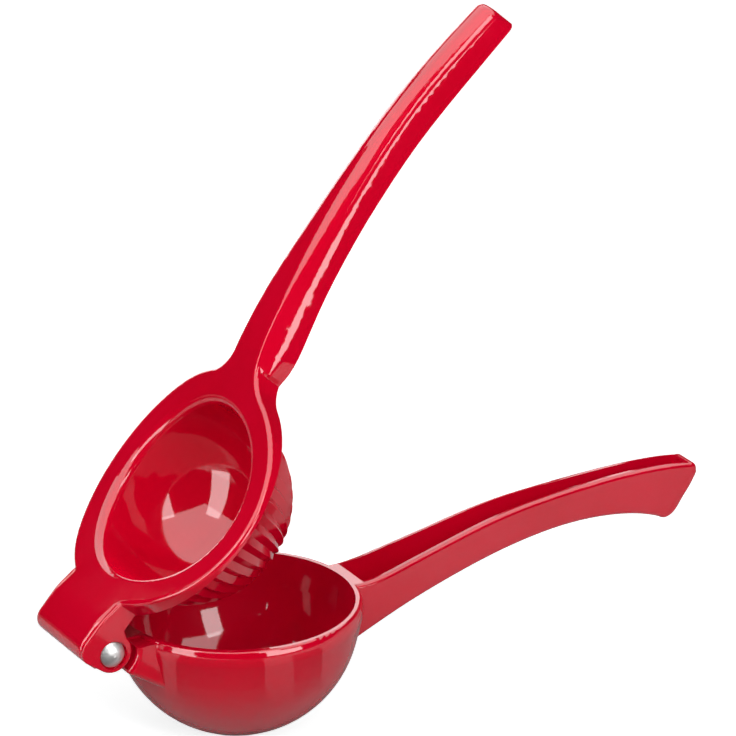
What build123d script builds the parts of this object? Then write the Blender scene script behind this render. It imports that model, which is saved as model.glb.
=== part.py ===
from build123d import *
import os
import math

os.makedirs("parts", exist_ok=True)

# Hinged citrus squeezer: a bowl on a channel handle, a fluted dome on a second
# channel handle, and the rivet pin between them.  Millimetres, +Z up.  The origin
# is the centre of the small flat foot under the bowl; the handles point to +X and
# the hinge axis is parallel to Y on the -X side.

# ---------------------------------------------------------------- driving sizes
# bowl
RIM_R = 37.0          # outside radius at the rim
RIM_IN_R = 34.7       # inside radius at the rim
BOWL_R = 35.95        # outside radius of the spherical part
BOWL_IN_R = 33.65     # inside radius of the spherical part
BOWL_CZ = -3.84       # sphere centre below the rim
FOOT_R = 13.5         # flat foot on the underside
FLOOR_T = 2.3         # floor thickness over the foot
DRAIN_R = 2.0         # juice holes in the floor
DRAIN_PCD_R = 7.0
WALL_LEAN = 14.0      # lean of the plain wall between the sphere and the rim, degrees
RIM_BULGE = 7.5       # radius of the gently rounded band under the rim
RIM_BREAK = 20.0      # how far that band turns inward at its top, degrees
FOOT_Z = BOWL_CZ - math.sqrt(BOWL_R**2 - FOOT_R**2)   # foot level below the rim

# hinge
PIN_X, PIN_Z = -47.34, -1.08    # pin axis, from the bowl axis and the rim plane
PIN_R = 2.5
PIN_RUN = 0.05                  # radial play of the pin in the knuckle
HEAD_R = 3.8
HEAD_RISE = 1.15                # height of the domed head over its rim
HEAD_EDGE = 0.5                 # plain edge of the head
BORE_R = 4.35                   # counterbore around each head
BORE_DEPTH = 1.1
EAR_Y = 14.7                    # outside of the ears and of the lug
BLOCK_Y = 13.95                 # half width of the block above the ears
KNUCKLE_R = 4.8
KNUCKLE_Y = 8.0
SLOT_Y = 8.3                    # half width of the slot between the ears
SLOT_R = 5.4
LOBE_R = 5.9                    # rounding of the ears
RELIEF_R = 7.8                  # relief of the lug around the ears
OPEN_ANGLE = 48.5               # how far the upper arm is raised

# ring and dome, in the upper arm's own frame: origin at the ring's centre,
# x along the arm, z up, pin below and behind
ARM_PIN_X, ARM_PIN_Z = -48.21, -3.73
RING_R = 38.0
RING_UNDER = -2.07
DOME_R = 30.8                   # over the ridges
DOME_CZ = -3.05
DOME_IN_R = 28.3
MOUTH_ROUND = 2.7
FLUTES = 42
FLUTE_DEPTH = 1.4
FLUTE_LAP = 1.04                # neighbouring grooves overlap by this, so each ridge is an edge
CORE_R = 7.0                    # plain raised button at the dome's pole
CORE_RISE = 0.4
ARM_EDGE = 1.2                  # rounding along the arm's upper edges

# upper arm's top line, from the hinge block over the dished ring to the handle
TOP_LINE = [
    (-45.2, 6.91), (-39.2, 6.0), (-32.6, 4.3), (-21.8, 1.78), (-10.9, 0.42),
    (0.0, 0.0), (10.9, 0.44), (21.8, 1.88), (32.6, 4.75), (41.3, 7.75),
]
CUT_X = 41.3                    # where the handle's own sections take over
ROOT_HALF = 6.3                 # half width the ring body narrows to, inside the handle
ROOT_ROUND = 13.0               # concave rounding from the ring to its root

# upper handle sections: x, half width at the ridge, height of the ridge, half width
# of the flat top before its edge is rounded, top, underside, top edge radius,
# ridge radius, half width at the underside
UPPER_HANDLE = [
    (42.7, 8.50, 3.30, 6.85, 8.20, -2.07, 1.2, 3.0, 7.90),
    (47.0, 8.58, 4.25, 6.25, 9.50, -2.07, 1.0, 6.0, 8.30),
    (54.4, 8.15, 5.24, 5.80, 11.15, -1.00, 1.1, 8.0, 8.10),
    (63.0, 7.59, 6.59, 5.50, 12.58, 0.85, 1.5, 8.0, 7.59),
    (72.9, 7.02, 8.23, 5.05, 13.85, 2.58, 2.6, 8.0, 7.02),
    (84.0, 6.48, 10.10, 4.35, 14.98, 3.90, 4.0, 7.0, 6.48),
    (98.0, 5.82, 11.90, 3.30, 15.95, 4.85, 4.6, 5.6, 5.82),
    (112.6, 5.22, 13.10, 2.45, 16.35, 5.11, 4.6, 4.6, 5.22),
    (124.6, 4.90, 13.30, 2.15, 16.15, 4.75, 4.3, 4.3, 4.90),
    (136.0, 4.73, 12.70, 2.05, 15.38, 3.85, 4.2, 4.2, 4.73),
    (147.0, 4.68, 11.42, 2.00, 14.10, 2.75, 4.2, 4.2, 4.68),
    (157.0, 4.66, 9.87, 1.98, 12.55, 1.70, 4.1, 4.2, 4.66),
    (164.8, 4.60, 8.55, 1.95, 11.20, 0.95, 4.0, 4.1, 4.60),
]
HOLLOW = (2, 12)                # sections between which the underside is hollow
TIP_ROUND = 2.4                 # rounding of the tip's upper edge

# lower handle: top line, underside and plan
LOWER_TOP = [
    (38.1, 0.0), (42.4, 0.45), (48.4, 1.6), (54.1, 3.0), (61.4, 4.7), (69.1, 6.55),
    (76.9, 8.4), (84.6, 9.95), (92.3, 11.1), (99.0, 11.8), (105.2, 12.35),
    (111.3, 12.8), (117.4, 13.15), (123.5, 13.45), (129.5, 13.6), (135.7, 13.6),
    (141.8, 13.4), (147.9, 12.95), (152.5, 12.3),
]
LOWER_UNDER = [
    (30.0, -19.6), (37.5, -16.0), (50.2, -10.95), (60.8, -7.6), (71.4, -4.6), (81.9, -2.0),
    (92.4, 0.0), (103.1, 1.35), (113.7, 1.8), (124.4, 1.2), (135.2, -0.7),
    (142.2, -3.1),
]
HANDLE_PLAN = [
    (36.0, 8.95), (43.5, 8.85), (54.4, 8.15), (67.5, 7.3), (78.4, 6.72), (90.0, 6.12),
    (102.3, 5.55), (112.0, 5.15), (121.9, 4.88), (134.0, 4.72), (145.8, 4.68), (160.0, 4.66),
]
WALL = 2.0
HANDLE_EDGE = 1.2               # rounding of the lower handle's long outer edges


def across(edges, half_width):
    """Solid between a closed side outline and +-half_width in Y."""
    return extrude(Pos(0, -half_width, 0) * make_face(edges), amount=2 * half_width, dir=(0, 1, 0))


def xz(x, z):
    return Vector(x, 0, z)


def arc_points(cx, cz, r, a0, a1, n=1):
    out = []
    for i in range(n + 1):
        a = math.radians(a0 + (a1 - a0) * i / n)
        out.append((cx + r * math.cos(a), cz + r * math.sin(a)))
    return out


# ------------------------------------------------------------------- lower arm
def bowl_profile():
    """Outer half section of the bowl, in the XZ plane."""
    a_foot = math.atan2(FOOT_Z - BOWL_CZ, FOOT_R)
    lean = math.radians(WALL_LEAN)
    wall = xz(BOWL_R * math.cos(lean), BOWL_CZ - BOWL_R * math.sin(lean))
    mid = 0.5 * (a_foot - lean)
    sweep = xz(BOWL_R * math.cos(mid), BOWL_CZ + BOWL_R * math.sin(mid))
    foot = xz(FOOT_R, FOOT_Z)
    # rounded band: starts tangent to the leaning wall and is widest at RIM_R
    turn = math.radians(RIM_BREAK)
    bx = RIM_R - RIM_BULGE
    low_x = bx + RIM_BULGE * math.cos(lean)
    low_z = wall.Z + (low_x - wall.X) / math.tan(lean)
    bz = low_z + RIM_BULGE * math.sin(lean)
    # small edge rounding between the band and the flat rim face at z = 0
    edge_r = -(bz + RIM_BULGE * math.sin(turn)) / (1 - math.sin(turn))
    ex = bx + (RIM_BULGE - edge_r) * math.cos(turn)
    ez = -edge_r
    half = 0.5 * (turn + math.radians(90))

    def band(a):
        return xz(bx + RIM_BULGE * math.cos(a), bz + RIM_BULGE * math.sin(a))

    edges = [
        Line(xz(0, FOOT_Z), foot),
        ThreePointArc(foot, sweep, wall),
        Line(wall, band(-lean)),
        ThreePointArc(band(-lean), band(0.5 * (turn - lean)), band(turn)),
        ThreePointArc(band(turn), xz(ex + edge_r * math.cos(half), ez + edge_r * math.sin(half)), xz(ex, 0)),
        Line(xz(ex, 0), xz(0, 0)),
        Line(xz(0, 0), xz(0, FOOT_Z)),
    ]
    return make_face(edges)


def cavity_profile():
    floor_z = FOOT_Z + FLOOR_T
    a_floor = math.asin((floor_z - BOWL_CZ) / BOWL_IN_R)
    a_wall = math.radians(-10.0)
    floor = xz(BOWL_IN_R * math.cos(a_floor), floor_z)
    wall = xz(BOWL_IN_R * math.cos(a_wall), BOWL_CZ + BOWL_IN_R * math.sin(a_wall))
    mid = 0.5 * (a_floor + a_wall)
    sweep = xz(BOWL_IN_R * math.cos(mid), BOWL_CZ + BOWL_IN_R * math.sin(mid))
    slope = (RIM_IN_R - wall.X) / (0.0 - wall.Z)
    top = xz(RIM_IN_R + slope * 5.0, 5.0)
    edges = [
        Line(xz(0, floor_z), floor),
        ThreePointArc(floor, sweep, wall),
        Line(wall, top),
        Line(top, xz(0, 5.0)),
        Line(xz(0, 5.0), xz(0, floor_z)),
    ]
    return make_face(edges)


def lower_handle():
    top = [xz(*p) for p in LOWER_TOP]
    under = [xz(*p) for p in LOWER_UNDER]
    corner_a, corner_b = xz(155.2, 10.4), xz(155.3, 8.9)
    hook = [xz(142.2, -3.1), xz(145.3, -3.75), xz(147.4, -2.6), xz(149.8, 0.5), xz(152.8, 4.6), xz(155.3, 8.9)]
    side = [
        Line(xz(30.0, 0.0), top[0]),
        Spline(*top),
        ThreePointArc(top[-1], xz(154.6, 11.65), corner_a),
        Line(corner_a, corner_b),
        Spline(*hook[::-1]),
        Spline(*under[::-1]),
        Line(under[0], xz(30.0, 0.0)),
    ]
    body = across(side, 12)
    plan = [Vector(x, y, -25) for x, y in HANDLE_PLAN]
    plan_m = [Vector(x, -y, -25) for x, y in HANDLE_PLAN]
    start = [Vector(28, HANDLE_PLAN[0][1], -25), Vector(28, -HANDLE_PLAN[0][1], -25)]
    outline = [
        Line(start[0], plan[0]),
        Spline(*plan),
        Line(plan[-1], plan_m[-1]),
        Spline(*plan_m[::-1]),
        Line(plan_m[0], start[1]),
        Line(start[1], start[0]),
    ]
    prism = extrude(make_face(outline), amount=50)
    bar = body & prism
    long_edges = [e for e in bar.edges() if e.geom_type == GeomType.BSPLINE and abs(e.center().Y) > 4.0
                  and (e.center().X > 40 or e.center().Z < -10)]
    return fillet(long_edges, HANDLE_EDGE)


def lower_channel():
    """The open channel in the top of the lower handle."""
    floor = [(x, z + 1.8) for x, z in LOWER_UNDER if x > 45]
    x0 = 38.3
    z0 = -16.0 + 0.38 * (x0 - 37.5) + 2.5
    x1 = 151.6
    pts = [xz(x0, 8.0), xz(x0, z0)] + [xz(x, z) for x, z in floor]
    side = [
        Line(pts[0], pts[1]),
        Spline(*pts[1:]),
        Line(pts[-1], xz(146.5, -0.2)),
        Line(xz(146.5, -0.2), xz(x1, 7.0)),
        Line(xz(x1, 7.0), xz(x1, 22.0)),
        Line(xz(x1, 22.0), xz(x0, 22.0)),
        Line(xz(x0, 22.0), pts[0]),
    ]
    body = across(side, 12)
    inner = [(x, y - WALL) for x, y in HANDLE_PLAN]
    plan = [Vector(x, y, -25) for x, y in inner]
    plan_m = [Vector(x, -y, -25) for x, y in inner]
    outline = [
        Spline(*plan),
        Line(plan[-1], plan_m[-1]),
        Spline(*plan_m[::-1]),
        Line(plan_m[0], plan[0]),
    ]
    prism = extrude(make_face(outline), amount=50)
    channel = body & prism
    upright = [e for e in channel.edges() if e.length > 2.0
               and math.hypot((e @ 0).X - (e @ 1).X, (e @ 0).Y - (e @ 1).Y) < 0.05]
    return fillet(upright, 1.1)


def hinge_lug():
    """Lug on the bowl with the relief for the ears, and the knuckle between them."""
    a_top = math.degrees(math.asin((-0.65 - PIN_Z) / RELIEF_R))
    p_top = xz(PIN_X + RELIEF_R * math.cos(math.radians(a_top)), -0.65)
    a_bot = -58.6
    p_bot = xz(PIN_X + RELIEF_R * math.cos(math.radians(a_bot)), PIN_Z + RELIEF_R * math.sin(math.radians(a_bot)))
    a_mid = 0.5 * (a_top + a_bot)
    p_mid = xz(PIN_X + RELIEF_R * math.cos(math.radians(a_mid)), PIN_Z + RELIEF_R * math.sin(math.radians(a_mid)))
    inner_top = xz(-28.0, -0.65)
    low = xz(-31.0, -15.6)
    inner_low = xz(-28.0, -16.5)
    side = [
        ThreePointArc(p_top, p_mid, p_bot),
        Line(p_bot, low),
        Line(low, inner_low),
        Line(inner_low, inner_top),
        Line(inner_top, p_top),
    ]
    lug = across(side, EAR_Y)
    bottom = lug.edges().filter_by(Axis.Y).sort_by_distance(p_bot)[0]
    rails = [e for e in lug.edges() if e.length > 5 and abs(abs(e.center().Y) - EAR_Y) < 0.01
             and e.center().Z < -8 and e.center().X < -31.5]
    lug = fillet([bottom], 1.0)
    rails = [e for e in lug.edges() if e.length > 5 and abs(abs(e.center().Y) - EAR_Y) < 0.01
             and e.center().Z < -8 and e.center().X < -31.5]
    lug = fillet(rails, 1.6)

    # knuckle and its web
    a_t = math.radians(-109.0)
    tangent = xz(PIN_X + KNUCKLE_R * math.cos(a_t), PIN_Z + KNUCKLE_R * math.sin(a_t))
    web_side = [
        Line(xz(PIN_X, 0.0), xz(-28.0, 0.0)),
        Line(xz(-28.0, 0.0), inner_low),
        Line(inner_low, low),
        Line(low, p_bot),
        Line(p_bot, tangent),
        Line(tangent, xz(PIN_X, 0.0)),
    ]
    web = across(web_side, KNUCKLE_Y)
    knuckle = Plane(origin=(PIN_X, 0, PIN_Z), x_dir=(1, 0, 0), z_dir=(0, 1, 0)) * Cylinder(KNUCKLE_R, 2 * KNUCKLE_Y)
    return lug + (web + knuckle)


def lower_arm():
    outer = revolve(bowl_profile(), Axis.Z)
    body = outer + lower_handle()
    body = body + hinge_lug()
    body = body - revolve(cavity_profile(), Axis.Z)
    body = body - lower_channel()
    drains = [Pos(0, 0, FOOT_Z) * Cylinder(DRAIN_R, 12)]
    for i in range(6):
        a = math.radians(60 * i)
        drains.append(Pos(DRAIN_PCD_R * math.cos(a), DRAIN_PCD_R * math.sin(a), FOOT_Z) * Cylinder(DRAIN_R, 12))
    body = body - drains
    bore = Plane(origin=(PIN_X, 0, PIN_Z), x_dir=(1, 0, 0), z_dir=(0, 1, 0)) * Cylinder(PIN_R + PIN_RUN, 4 * EAR_Y)
    body = body - bore
    return body


# ------------------------------------------------------------------- upper arm
def ring_plan():
    """Plan of block, ring and handle root, symmetric about the arm's centre line."""
    hw = ROOT_HALF
    root_r = ROOT_ROUND
    cx = math.sqrt((RING_R + root_r) ** 2 - (hw + root_r) ** 2)
    cy = hw + root_r
    t_ring = (cx * RING_R / (RING_R + root_r), cy * RING_R / (RING_R + root_r))
    t_side = (cx, hw)
    # the concave arc's middle point
    a0 = math.atan2(t_ring[1] - cy, t_ring[0] - cx)
    a1 = math.atan2(t_side[1] - cy, t_side[0] - cx)
    am = 0.5 * (a0 + a1)
    mid = (cx + root_r * math.cos(am), cy + root_r * math.sin(am))

    # block side and its small concave rounding into the ring
    bw = BLOCK_Y
    small = 2.5
    bx = -math.sqrt((RING_R + small) ** 2 - (bw + small) ** 2)
    by = bw + small
    b_ring = (bx * RING_R / (RING_R + small), by * RING_R / (RING_R + small))
    b_side = (bx, bw)
    b0 = math.atan2(b_ring[1] - by, b_ring[0] - bx)
    b1 = -math.pi / 2
    bm = 0.5 * (b0 + b1)
    b_mid = (bx + small * math.cos(bm), by + small * math.sin(bm))
    end_x = -60.0
    z = -20.0

    def v(p, s=1):
        return Vector(p[0], s * p[1], z)

    edges = [
        Line(v((end_x, bw)), v(b_side)),
        ThreePointArc(v(b_side), v(b_mid), v(b_ring)),
        ThreePointArc(v(b_ring), Vector(0, RING_R, z), v(t_ring)),
        ThreePointArc(v(t_ring), v(mid), v(t_side)),
        Line(v(t_side), v((cx + 2, hw))),
        Line(v((cx + 2, hw)), v((cx + 2, hw), -1)),
        Line(v((cx + 2, hw), -1), v(t_side, -1)),
        ThreePointArc(v(t_side, -1), v(mid, -1), v(t_ring, -1)),
        ThreePointArc(v(t_ring, -1), Vector(0, -RING_R, z), v(b_ring, -1)),
        ThreePointArc(v(b_ring, -1), v(b_mid, -1), v(b_side, -1)),
        Line(v(b_side, -1), v((end_x, bw), -1)),
        Line(v((end_x, bw), -1), v((end_x, bw))),
    ]
    return make_face(edges)


BLOCK_END = -54.4
BLOCK_TOP = 6.91
BLOCK_ROUND = 4.5


def block_side(under):
    """Side outline edges of block, ring and handle root, closed along `under`."""
    top = [xz(*p) for p in TOP_LINE]
    c45 = BLOCK_ROUND * (1 - math.cos(math.radians(45)))
    return [
        Line(xz(BLOCK_END, BLOCK_TOP - BLOCK_ROUND), xz(BLOCK_END, under)),
        Line(xz(BLOCK_END, under), xz(CUT_X, under)),
        Line(xz(CUT_X, under), top[-1]),
        Spline(*top[::-1], tangents=[Vector(-1, 0, -0.325), Vector(-1, 0, 0)]),
        Line(top[0], xz(BLOCK_END + BLOCK_ROUND, BLOCK_TOP)),
        ThreePointArc(xz(BLOCK_END + BLOCK_ROUND, BLOCK_TOP), xz(BLOCK_END + c45, BLOCK_TOP - c45),
                      xz(BLOCK_END, BLOCK_TOP - BLOCK_ROUND)),
    ]


def flute_cutters():
    """One V groove along a meridian, trimmed at the pole and faded out under the ring."""
    spacing = 2 * math.pi * DOME_R / FLUTES
    slope = FLUTE_LAP * 0.5 * spacing / FLUTE_DEPTH
    out = 3.0
    # V section in the plane containing the tool's own axis (parallel to Y)
    x_axis = -FLUTE_DEPTH
    apex = DOME_R
    section_face = make_face(Polyline(
        Vector(x_axis + apex, 0, DOME_CZ),
        Vector(x_axis + apex + out, out * slope, DOME_CZ),
        Vector(x_axis + apex + out, -out * slope, DOME_CZ),
        close=True))
    axis = Axis((x_axis, 0, DOME_CZ), (0, 1, 0))
    # start above the ring's underside and run past the pole
    section_face = section_face.rotate(axis, -20)
    groove = revolve(section_face, axis, 115)
    band = revolve(make_face(Polyline(
        xz(0, 20), xz(45, 20), xz(45, RING_UNDER), xz(DOME_R + 0.3, RING_UNDER), xz(DOME_R - 0.05, -6.0),
        xz(28.7, -9.3), xz(20, -9.3), xz(0, -9.3), close=True)), Axis.Z)
    core = Pos(0, 0, -30) * Cylinder(CORE_R, 40)
    groove = groove - core - band
    return groove


def fluted_dome():
    mid = math.radians(-45)
    a_top = math.asin((RING_UNDER - DOME_CZ) / DOME_R)
    button_r = CORE_R + 0.3
    a_button = -math.acos(button_r / DOME_R)
    top_r = DOME_R * math.cos(a_top)
    face_z = DOME_CZ - DOME_R - CORE_RISE
    prof = make_face([
        Line(xz(0, face_z), xz(0, RING_UNDER + 1.0)),
        Line(xz(0, RING_UNDER + 1.0), xz(top_r, RING_UNDER + 1.0)),
        Line(xz(top_r, RING_UNDER + 1.0), xz(top_r, RING_UNDER)),
        ThreePointArc(xz(top_r, RING_UNDER),
                      xz(DOME_R * math.cos(mid), DOME_CZ + DOME_R * math.sin(mid)),
                      xz(button_r, DOME_CZ + DOME_R * math.sin(a_button))),
        Line(xz(button_r, DOME_CZ + DOME_R * math.sin(a_button)), xz(button_r, face_z)),
        Line(xz(button_r, face_z), xz(0, face_z)),
    ])
    ball = revolve(prof, Axis.Z)
    groove = flute_cutters()
    return ball - [groove.rotate(Axis.Z, 360.0 * i / FLUTES) for i in range(FLUTES)]


def handle_section(x, h, ridge, b, top, under, r_top, r_ridge, foot):
    """Section of the upper handle: upright side, soft ridge, bevel, rounded edge, flat top."""
    turn = math.atan2(h - b, top - ridge)            # from upright to the bevel
    rest = math.radians(90) - turn                   # from the bevel to the flat top
    t_ridge = r_ridge * math.tan(0.5 * turn)
    t_top = r_top * math.tan(0.5 * rest)
    away = (-math.sin(turn), math.cos(turn))         # along the bevel, upward
    side = []
    low = (h, ridge - t_ridge)
    for i in range(4):                               # upright side
        f = i / 4
        side.append((foot + (low[0] - foot) * f, under + (low[1] - under) * f))
    for i in range(5):                               # ridge
        a = turn * i / 4
        side.append((h - r_ridge + r_ridge * math.cos(a), low[1] + r_ridge * math.sin(a)))
    end = (b - away[0] * t_top, top - away[1] * t_top)
    last = side[-1]
    for i in range(1, 4):                            # bevel
        f = i / 3
        side.append((last[0] + (end[0] - last[0]) * f, last[1] + (end[1] - last[1]) * f))
    cx, cz = b - t_top, top - r_top
    a = turn + 0.5 * rest
    mid = (cx + r_top * math.cos(a), cz + r_top * math.sin(a))
    flat = (b - t_top, top)
    start_dir = Vector(0, low[0] - foot, low[1] - under)
    end_dir = Vector(0, away[0], away[1])

    def p(q, s=1):
        return Vector(x, s * q[0], q[1])

    right = Spline(*[p(q) for q in side], tangents=[start_dir, end_dir])
    left = Spline(*[p(q, -1) for q in side[::-1]],
                  tangents=[Vector(0, end_dir.Y, -end_dir.Z), Vector(0, start_dir.Y, -start_dir.Z)])
    return make_face([
        Line(p((foot, under), -1), p((foot, under))),
        right,
        ThreePointArc(p(end), p(mid), p(flat)),
        Line(p(flat), p(flat, -1)),
        ThreePointArc(p(flat, -1), p(mid, -1), p(end, -1)),
        left,
    ])


def hollow_section(x, h, ridge, b, top, under, r_top, r_ridge, foot):
    """Section of the hollow: the handle's section moved in by the wall."""
    top_in = top - 2.0
    return handle_section(x, h - 1.8, min(ridge, top_in - 1.2), max(b - 1.2, 0.7), top_in, under - 2.0,
                          0.8, 1.0, h - 1.8)


def upper_handle(root_face):
    """Handle from the ring's root to the tip, hollow along its underside."""
    first = handle_section(*UPPER_HANDLE[0])
    step = loft([root_face, first], ruled=True)
    shoulder = [f for f in step.faces() if abs(f.center().X - UPPER_HANDLE[0][0]) < 1e-4][0]
    body = loft([shoulder] + [handle_section(*s) for s in UPPER_HANDLE[1:]])
    tip_x = UPPER_HANDLE[-1][0]
    tip = [e for e in body.edges() if abs(e.center().X - tip_x) < 1e-3 and e.center().Z > UPPER_HANDLE[-1][5] + 1.0]
    body = fillet(tip, TIP_ROUND)
    channel = loft([hollow_section(*s) for s in UPPER_HANDLE[HOLLOW[0]:HOLLOW[1]]])
    return step, body - channel


def ear_side():
    """Side outline of one ear plate, around the pin and up along the block."""
    px, pz = ARM_PIN_X, ARM_PIN_Z
    cx, cz = px + 0.35, pz + 0.3
    a1, a0 = -8.0, -178.0
    lobe_a = xz(cx + LOBE_R * math.cos(math.radians(a0)), cz + LOBE_R * math.sin(math.radians(a0)))
    lobe_m = xz(cx + LOBE_R * math.cos(math.radians(-93)), cz + LOBE_R * math.sin(math.radians(-93)))
    lobe_b = xz(cx + LOBE_R * math.cos(math.radians(a1)), cz + LOBE_R * math.sin(math.radians(a1)))
    return px, pz, lobe_a, lobe_m, lobe_b


def upper_arm():
    side = across(block_side(RING_UNDER), 60)
    plan = extrude(ring_plan(), amount=60)
    body = side & plan
    # round the upper edges all along the outline
    rim = [e for e in body.edges()
           if e.center().Z > RING_UNDER + 0.6 and abs(e.center().Y) > 7.0 and e.length > 0.5
           and e.center().X > -50 and not abs((e @ 0).Z - (e @ 1).Z) > 0.9 * e.length]
    body = fillet(rim, ARM_EDGE)
    root_face = [f for f in body.faces() if abs(f.center().X - CUT_X) < 1e-4][0]
    step, handle = upper_handle(root_face)
    body = body + step + handle

    # ears
    px, pz, lobe_a, lobe_m, lobe_b = ear_side()
    ear_edges = [
        ThreePointArc(lobe_a, lobe_m, lobe_b),
        Line(lobe_b, xz(-40.6, -2.07)),
        Line(xz(-40.6, -2.07), xz(-33.6, -2.07)),
        Line(xz(-33.6, -2.07), xz(-33.2, 3.3)),
        Spline(xz(-33.2, 3.3), xz(-34.6, 4.55), xz(-37.4, 5.25), xz(-41.0, 6.0), xz(-45.2, 6.25), xz(-50.2, 6.25)),
        ThreePointArc(xz(-50.2, 6.25), xz(-53.17, 5.02), xz(-54.4, 2.05)),
        Line(xz(-54.4, 2.05), lobe_a),
    ]
    plate = across(ear_edges, EAR_Y)
    edge_list = [e for e in plate.edges() if abs(abs(e.center().Y) - EAR_Y) < 0.01]
    plate = fillet(edge_list, 0.5)
    body = body + plate

    # slot between the ears for the knuckle
    slot = Plane(origin=(px, 0, pz), x_dir=(1, 0, 0), z_dir=(0, 1, 0)) * Cylinder(SLOT_R, 2 * SLOT_Y)
    slot = slot + Pos(px - 10, 0, pz + 3.0 - 10) * Box(20, 2 * SLOT_Y, 20)
    slot = slot + Pos(px + 10, 0, RING_UNDER - 10) * Box(20 + 2, 2 * SLOT_Y, 20)
    body = body - slot

    # mouth and dome
    body = body - Pos(0, 0, 0) * Cylinder(DOME_IN_R, 40)
    dome = fluted_dome()
    inner = Pos(0, 0, DOME_CZ) * Sphere(DOME_IN_R) + Pos(0, 0, DOME_CZ + 10) * Cylinder(DOME_IN_R, 20)
    dome = dome - inner
    body = body + dome
    lip = [e for e in body.edges() if e.length > 80 and e.bounding_box().max.Z > 1.0
           and abs(math.hypot((e @ 0.3).X, (e @ 0.3).Y) - DOME_IN_R) < 0.1]
    body = fillet(lip, MOUTH_ROUND)

    # pin bore and counterbores
    axis = Plane(origin=(px, 0, pz), x_dir=(1, 0, 0), z_dir=(0, 1, 0))
    body = body - axis * Cylinder(PIN_R, 4 * EAR_Y)
    for s in (-1, 1):
        body = body - axis * (Pos(0, 0, s * (EAR_Y + 5 - BORE_DEPTH)) * Cylinder(BORE_R, 10))
    return body


def hinge_pin():
    """Rivet pin with a domed head at each end, on the Y axis."""
    seat = EAR_Y - BORE_DEPTH
    rim = seat + HEAD_EDGE
    crown = rim + HEAD_RISE
    # radius of the spherical crown
    rc = (HEAD_R**2 + HEAD_RISE**2) / (2 * HEAD_RISE)
    mid_r = HEAD_R * 0.55
    mid_y = crown - (rc - math.sqrt(rc**2 - mid_r**2))
    prof = []
    pts = [Vector(0, -crown, 0)]
    face = make_face([
        ThreePointArc(Vector(0, -crown, 0), Vector(mid_r, -mid_y, 0), Vector(HEAD_R, -rim, 0)),
        Line(Vector(HEAD_R, -rim, 0), Vector(HEAD_R, -seat, 0)),
        Line(Vector(HEAD_R, -seat, 0), Vector(PIN_R, -seat, 0)),
        Line(Vector(PIN_R, -seat, 0), Vector(PIN_R, seat, 0)),
        Line(Vector(PIN_R, seat, 0), Vector(HEAD_R, seat, 0)),
        Line(Vector(HEAD_R, seat, 0), Vector(HEAD_R, rim, 0)),
        ThreePointArc(Vector(HEAD_R, rim, 0), Vector(mid_r, mid_y, 0), Vector(0, crown, 0)),
        Line(Vector(0, crown, 0), Vector(0, -crown, 0)),
    ])
    return revolve(face, Axis.Y)


def place_upper(shape):
    """From the arm's own frame to its raised place on the pin, rim plane at z=0."""
    moved = Pos(-ARM_PIN_X, 0, -ARM_PIN_Z) * shape
    moved = moved.rotate(Axis.Y, -OPEN_ANGLE)
    return Pos(PIN_X, 0, PIN_Z) * moved


LIFT = -FOOT_Z
lower = Pos(0, 0, LIFT) * lower_arm()
upper = Pos(0, 0, LIFT) * place_upper(upper_arm())
pin = Pos(PIN_X, 0, PIN_Z + LIFT) * hinge_pin().rotate(Axis.Y, -OPEN_ANGLE)

for name, shape in (("lower_arm", lower), ("upper_arm", upper), ("hinge_pin", pin)):
    solids = shape.solids()
    solid = max(solids, key=lambda s: s.volume)
    print(name, len(solids), round(solid.volume, 1), solid.is_valid)
    export_step(solid, "parts/" + name + ".step")
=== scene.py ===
import math
import bpy
from mathutils import Matrix, Vector

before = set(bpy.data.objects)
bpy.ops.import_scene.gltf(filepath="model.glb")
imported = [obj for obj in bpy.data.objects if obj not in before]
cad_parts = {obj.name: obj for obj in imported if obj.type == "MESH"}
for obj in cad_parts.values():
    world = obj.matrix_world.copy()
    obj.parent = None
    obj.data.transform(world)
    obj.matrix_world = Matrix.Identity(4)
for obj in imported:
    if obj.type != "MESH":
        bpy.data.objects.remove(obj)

bpy.context.view_layer.update()

scene = bpy.context.scene
scene.view_settings.view_transform = "Standard"
scene.view_settings.look = "None"
scene.view_settings.exposure = 0.0
scene.view_settings.gamma = 1.0


# ------------------------------------------------------------------ small tools
def link(obj):
    scene.collection.objects.link(obj)
    return obj


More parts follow.
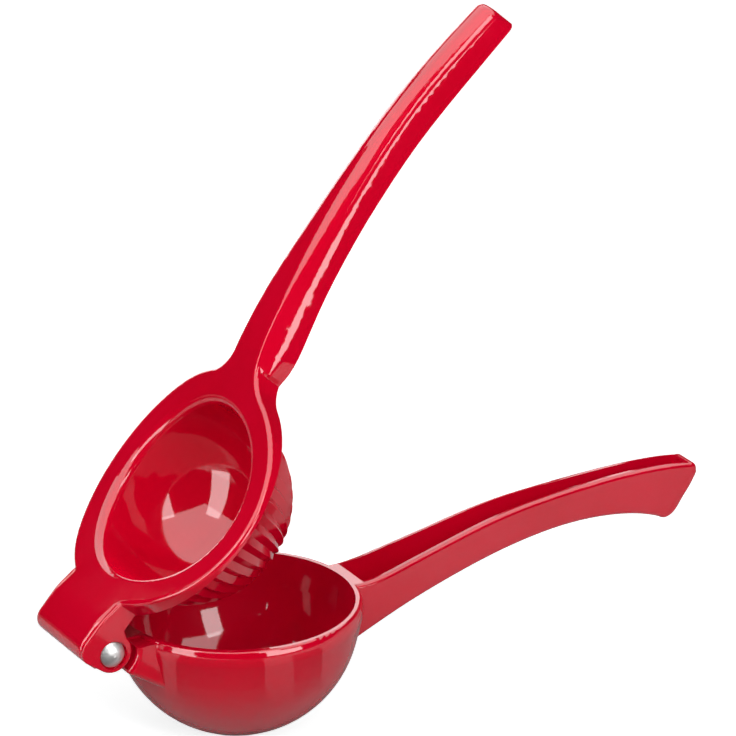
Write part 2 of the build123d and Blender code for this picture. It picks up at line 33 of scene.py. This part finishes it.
class Graph:
    """A node tree that is built by short calls."""

    def __init__(self, tree):
        self.tree = tree
        tree.nodes.clear()

    def node(self, kind, **settings):
        n = self.tree.nodes.new(kind)
        for key, value in settings.items():
            setattr(n, key, value)
        return n

    def put(self, n, socket, value):
        s = n.inputs[socket]
        if isinstance(value, bpy.types.NodeSocket):
            self.tree.links.new(value, s)
        else:
            s.default_value = value

    def math(self, op, a, b=0.0, c=None, clamp=False):
        n = self.node("ShaderNodeMath", operation=op, use_clamp=clamp)
        self.put(n, 0, a)
        self.put(n, 1, b)
        if c is not None:
            self.put(n, 2, c)
        return n.outputs[0]

    def noise(self, vector, scale, detail=3.0, rough=0.5, distortion=0.0):
        n = self.node("ShaderNodeTexNoise")
        self.put(n, "Vector", vector)
        n.inputs["Scale"].default_value = scale
        n.inputs["Detail"].default_value = detail
        n.inputs["Roughness"].default_value = rough
        n.inputs["Distortion"].default_value = distortion
        return n.outputs["Fac"]

    def spread(self, value, a, b, lo, hi):
        n = self.node("ShaderNodeMapRange")
        n.clamp = True
        self.put(n, "Value", value)
        n.inputs["From Min"].default_value = a
        n.inputs["From Max"].default_value = b
        n.inputs["To Min"].default_value = lo
        n.inputs["To Max"].default_value = hi
        return n.outputs["Result"]

    def mix_colour(self, fac, a, b):
        n = self.node("ShaderNodeMix", data_type="RGBA")
        self.put(n, 0, fac)
        self.put(n, 6, a)
        self.put(n, 7, b)
        return n.outputs[2]

    def bump(self, height, distance, strength=1.0, normal=None):
        n = self.node("ShaderNodeBump")
        n.inputs["Strength"].default_value = strength
        n.inputs["Distance"].default_value = distance
        self.put(n, "Height", height)
        if normal is not None:
            self.put(n, "Normal", normal)
        return n.outputs["Normal"]


# -------------------------------------------------------------------- materials
def red_enamel():
    """Glossy red powder coat: a saturated red under a clear film with a faint orange peel."""
    mat = bpy.data.materials.new("red_enamel")
    mat.use_nodes = True
    g = Graph(mat.node_tree)
    out = g.node("ShaderNodeOutputMaterial")
    bsdf = g.node("ShaderNodeBsdfPrincipled")
    g.tree.links.new(bsdf.outputs[0], out.inputs[0])
    where = g.node("ShaderNodeTexCoord").outputs["Object"]

    cloud = g.noise(where, 26.0, 2.0, 0.5)
    fleck = g.noise(where, 900.0, 2.0, 0.6)
    deep = (0.455, 0.0002, 0.0120, 1.0)
    clear = (0.520, 0.0005, 0.0175, 1.0)
    fac = g.math("ADD", g.math("MULTIPLY", cloud, 0.75), g.math("MULTIPLY", fleck, 0.25), clamp=True)
    g.put(bsdf, "Base Color", g.mix_colour(g.spread(fac, 0.30, 0.70, 0.0, 1.0), deep, clear))

    smear = g.noise(where, 60.0, 4.0, 0.6, 0.4)
    g.put(bsdf, "Roughness", g.spread(smear, 0.35, 0.70, 0.30, 0.36))
    bsdf.inputs["IOR"].default_value = 1.45
    bsdf.inputs["Specular IOR Level"].default_value = 0.0
    bsdf.inputs["Coat Weight"].default_value = 1.0
    bsdf.inputs["Coat IOR"].default_value = 1.66
    g.put(bsdf, "Coat Roughness", g.spread(smear, 0.35, 0.75, 0.045, 0.075))

    wave = g.noise(where, 230.0, 1.0, 0.4)
    peel = g.noise(where, 900.0, 2.0, 0.5)
    normal = g.bump(wave, 0.0000035, 1.0)
    normal = g.bump(peel, 0.0000030, 1.0, normal)
    g.put(bsdf, "Coat Normal", normal)
    g.put(bsdf, "Normal", normal)
    return mat


def bare_steel():
    """Bright steel of the rivet: turned rings on the head, fine scratches and a dull grey skin."""
    mat = bpy.data.materials.new("rivet_steel")
    mat.use_nodes = True
    g = Graph(mat.node_tree)
    out = g.node("ShaderNodeOutputMaterial")
    bsdf = g.node("ShaderNodeBsdfPrincipled")
    g.tree.links.new(bsdf.outputs[0], out.inputs[0])
    where = g.node("ShaderNodeTexCoord").outputs["Object"]
    parts = g.node("ShaderNodeSeparateXYZ")
    g.put(parts, 0, where)
    dx = g.math("SUBTRACT", parts.outputs[0], -0.04734)
    dz = g.math("SUBTRACT", parts.outputs[2], 0.036079)
    radius = g.math("SQRT", g.math("ADD", g.math("MULTIPLY", dx, dx), g.math("MULTIPLY", dz, dz)))
    rings = g.math("SINE", g.math("MULTIPLY", radius, 26000.0))
    grain = g.noise(where, 1500.0, 3.0, 0.6)
    blotch = g.noise(where, 420.0, 3.0, 0.6)
    g.put(bsdf, "Base Color", g.mix_colour(g.spread(blotch, 0.35, 0.70, 0.0, 1.0),
                                           (0.72, 0.71, 0.705, 1.0), (0.88, 0.87, 0.865, 1.0)))
    bsdf.inputs["Metallic"].default_value = 1.0
    g.put(bsdf, "Roughness", g.spread(grain, 0.3, 0.7, 0.34, 0.50))
    height = g.math("ADD", g.math("MULTIPLY", rings, 0.35), g.math("MULTIPLY", grain, 1.4))
    g.put(bsdf, "Normal", g.bump(height, 0.0000040, 1.0))
    return mat


RED = red_enamel()
STEEL = bare_steel()
for name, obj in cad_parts.items():
    mat = STEEL if name == "hinge_pin" else RED
    obj.data.materials.clear()
    obj.data.materials.append(mat)

# ------------------------------------------------------------------------ stage
def floor():
    mesh = bpy.data.meshes.new("floor")
    s = 9.0
    mesh.from_pydata([(-s, -s, 0), (s, -s, 0), (s, s, 0), (-s, s, 0)], [], [(0, 1, 2, 3)])
    obj = link(bpy.data.objects.new("floor", mesh))
    mat = bpy.data.materials.new("floor_white")
    mat.use_nodes = True
    g = Graph(mat.node_tree)
    out = g.node("ShaderNodeOutputMaterial")
    bsdf = g.node("ShaderNodeBsdfPrincipled")
    g.tree.links.new(bsdf.outputs[0], out.inputs[0])
    bsdf.inputs["Base Color"].default_value = (0.86, 0.86, 0.865, 1.0)
    bsdf.inputs["Roughness"].default_value = 1.0
    bsdf.inputs["Specular IOR Level"].default_value = 0.0
    bsdf.inputs["Emission Color"].default_value = (1.0, 1.0, 1.0, 1.0)
    bsdf.inputs["Emission Strength"].default_value = 0.80
    mesh.materials.append(mat)
    obj.visible_diffuse = False
    obj.visible_glossy = False


floor()


def aim(place, at):
    """World matrix of a lamp or camera at `place` whose -Z axis looks at `at`."""
    place, at = Vector(place), Vector(at)
    quat = (at - place).to_track_quat("-Z", "Y")
    return Matrix.Translation(place) @ quat.to_matrix().to_4x4()


def softbox(name, place, at, width, height, radiance, glossy=True, diffuse=True, colour=(1.0, 1.0, 1.0)):
    lamp = bpy.data.lights.new(name, "AREA")
    lamp.shape = "RECTANGLE"
    lamp.size, lamp.size_y = width, height
    lamp.energy = radiance * math.pi * width * height
    lamp.color = colour
    obj = link(bpy.data.objects.new(name, lamp))
    obj.matrix_world = aim(place, at)
    obj.visible_camera = False
    obj.visible_glossy = glossy
    obj.visible_diffuse = diffuse
    return obj


def at_angles(azimuth, elevation, distance, centre=(0.0, 0.0, 0.06)):
    a, e = math.radians(azimuth), math.radians(elevation)
    return Vector(centre) + distance * Vector((math.cos(a) * math.cos(e), math.sin(a) * math.cos(e), math.sin(e)))


def card(name, corners, grey, bounce=False, painted_shade_ramp=None):
    """Flat studio card that the camera doesn't see: it tones what the enamel reflects, a painted reflection.

    The optional ramp (grey, r0, r1) takes it from that grey at r0 from the bowl's axis to `grey` at r1. A darker grey
    near the axis is painted shade: the bowl's own shadow, put into what the enamel reflects and into the bounce
    light.
    """
    mesh = bpy.data.meshes.new(name)
    mesh.from_pydata(corners, [], [tuple(range(len(corners)))])
    obj = link(bpy.data.objects.new(name, mesh))
    mat = bpy.data.materials.new(name + "_reflection_tone")
    mat.use_nodes = True
    g = Graph(mat.node_tree)
    out = g.node("ShaderNodeOutputMaterial")
    bsdf = g.node("ShaderNodeBsdfPrincipled")
    g.tree.links.new(bsdf.outputs[0], out.inputs[0])
    bsdf.inputs["Base Color"].default_value = (grey, grey, grey, 1.0)
    bsdf.inputs["Roughness"].default_value = 1.0
    bsdf.inputs["Specular IOR Level"].default_value = 0.0
    # Painted shade: a radial grey ramp around the bowl's axis stands in for the bowl's shadow on the floor, in
    # reflections and bounce.
    if painted_shade_ramp is not None:
        near, r0, r1 = painted_shade_ramp
        parts = g.node("ShaderNodeSeparateXYZ")
        g.put(parts, 0, g.node("ShaderNodeTexCoord").outputs["Object"])
        xx = g.math("MULTIPLY", parts.outputs[0], parts.outputs[0])
        yy = g.math("MULTIPLY", parts.outputs[1], parts.outputs[1])
        away = g.math("SQRT", g.math("ADD", xx, yy))
        g.put(bsdf, "Base Color", g.mix_colour(g.spread(away, r0, r1, 0.0, 1.0),
                                               (near, near, near, 1.0), (grey, grey, grey, 1.0)))
    mesh.materials.append(mat)
    obj.visible_camera = False
    obj.visible_diffuse = bounce
    obj.visible_transmission = False
    obj.visible_shadow = False
    return obj


def wedge(a0, a1, r0, r1, z):
    """Corners of a sector of a ring on the floor, between two azimuths."""
    ring = []
    for i in range(5):
        a = math.radians(a0 + (a1 - a0) * i / 4)
        ring.append((r1 * math.cos(a), r1 * math.sin(a), z))
    for i in range(5):
        a = math.radians(a1 + (a0 - a1) * i / 4)
        ring.append((r0 * math.cos(a), r0 * math.sin(a), z))
    return ring


MIDDLE = (0.0, 0.0, 0.06)
softbox("overhead_shine", (0.15, 0.25, 1.40), (0.15, 0.25, 0.0), 2.7, 3.5, 2.5, diffuse=False)
softbox("overhead_fill", (0.15, 0.25, 1.40), (0.15, 0.25, 0.0), 2.7, 3.5, 2.45, glossy=False)
softbox("handle_fill", (-0.14, -0.24, 0.42), (0.03, 0.0, 0.14), 0.20, 0.20, 6.0, glossy=False)
softbox("left_high", (-1.60, -0.30, 1.40), (-1.60, -0.30, 0.0), 0.80, 2.40, 2.5, diffuse=False)
softbox("left_strip", (-0.300, -0.100, 0.165), (0.0, 0.0, 0.165), 0.12, 0.33, 5.2, diffuse=False)
softbox("left_fill", (-0.95, -0.35, 0.75), MIDDLE, 0.60, 0.60, 5.4, glossy=False)
softbox("right_panel", at_angles(-88, 31, 1.2), MIDDLE, 0.38, 0.60, 5.2)
softbox("front_fill", at_angles(-75, 20, 1.2), MIDDLE, 0.50, 0.50, 3.4, glossy=False)
softbox("low_strip", (0.125, -0.50, 0.064), (0.125, 0.0, 0.064), 0.30, 0.124, 6.0, diffuse=False)
softbox("back_panel", (0.250, 1.174, 0.280), (0.0, 0.0, 0.280), 0.84, 0.54, 3.0, diffuse=False)
softbox("rim_panel", (0.735, 1.174, 0.645), (0.0, 0.0, 0.037), 0.24, 0.12, 2.9, diffuse=False)

# Painted shadow: this grey card is darker next to the bowl, as the bowl's own shade in what the enamel reflects and
# in its bounce light.
card("sweep", [(-6.0, -6.0, 0.0010), (6.0, -6.0, 0.0010), (6.0, 6.0, 0.0010), (-6.0, 6.0, 0.0010)], 0.86, bounce=True, painted_shade_ramp=(0.56, 0.060, 0.140))
# Painted dark reflections: near-black sheets, seen only in the enamel's reflections, darken the floor in front of and
# to the left of the bowl.
card("front_painted_dark", [(-3.0, -3.0, 0.0020), (3.0, -3.0, 0.0020), (3.0, -0.22, 0.0020), (-3.0, -0.22, 0.0020)], 0.004)
card("left_painted_dark", [(-3.0, -0.04, 0.0020), (-0.21, -0.04, 0.0020), (-0.21, 0.50, 0.0020), (-3.0, 1.20, 0.0020)], 0.004)
# Painted shade: two darker floor sectors beside the bowl, seen only in the enamel's reflections, stand in for
# shadowed strips of floor.
card("dark_wedge_a", wedge(-163.0, -98.0, 0.020, 0.215, 0.0030), 0.12, painted_shade_ramp=(0.56, 0.034, 0.060))
card("dark_wedge_b", wedge(-76.0, -50.0, 0.020, 0.120, 0.0030), 0.20, painted_shade_ramp=(0.56, 0.034, 0.060))

world = bpy.data.worlds.new("studio")
scene.world = world
world.use_nodes = True
g = Graph(world.node_tree)
w_out = g.node("ShaderNodeOutputWorld")
seen = g.node("ShaderNodeBackground")
seen.inputs[0].default_value = (0.96, 0.96, 0.965, 1.0)
seen.inputs[1].default_value = 1.0
dim = g.node("ShaderNodeBackground")
dim.inputs[0].default_value = (1.0, 1.0, 1.0, 1.0)
dim.inputs[1].default_value = 0.01
path = g.node("ShaderNodeLightPath")
pick = g.node("ShaderNodeMixShader")
g.put(pick, 0, path.outputs["Is Camera Ray"])
g.put(pick, 1, dim.outputs[0])
g.put(pick, 2, seen.outputs[0])
g.put(w_out, 0, pick.outputs[0])

# ----------------------------------------------------------------------- camera
cam_data = bpy.data.cameras.new("camera")
cam_data.sensor_fit = "HORIZONTAL"
cam_data.sensor_width = 36.0
cam_data.lens = 275.245
cam_data.clip_start = 0.05
cam_data.clip_end = 40.0
cam = link(bpy.data.objects.new("camera", cam_data))
right = Vector((0.8715497075, -0.4902866100, -0.0044885854))
up = Vector((0.1869440365, 0.3238269601, 0.9274632215))
back = Vector((-0.4532692738, -0.8091694137, 0.3738874502))
place = Vector((-0.6939767173, -1.3178085418, 0.7095840677))
cam.matrix_world = Matrix((
    (right.x, up.x, back.x, place.x),
    (right.y, up.y, back.y, place.y),
    (right.z, up.z, back.z, place.z),
    (0.0, 0.0, 0.0, 1.0),
))
scene.camera = cam

bpy.context.view_layer.update()
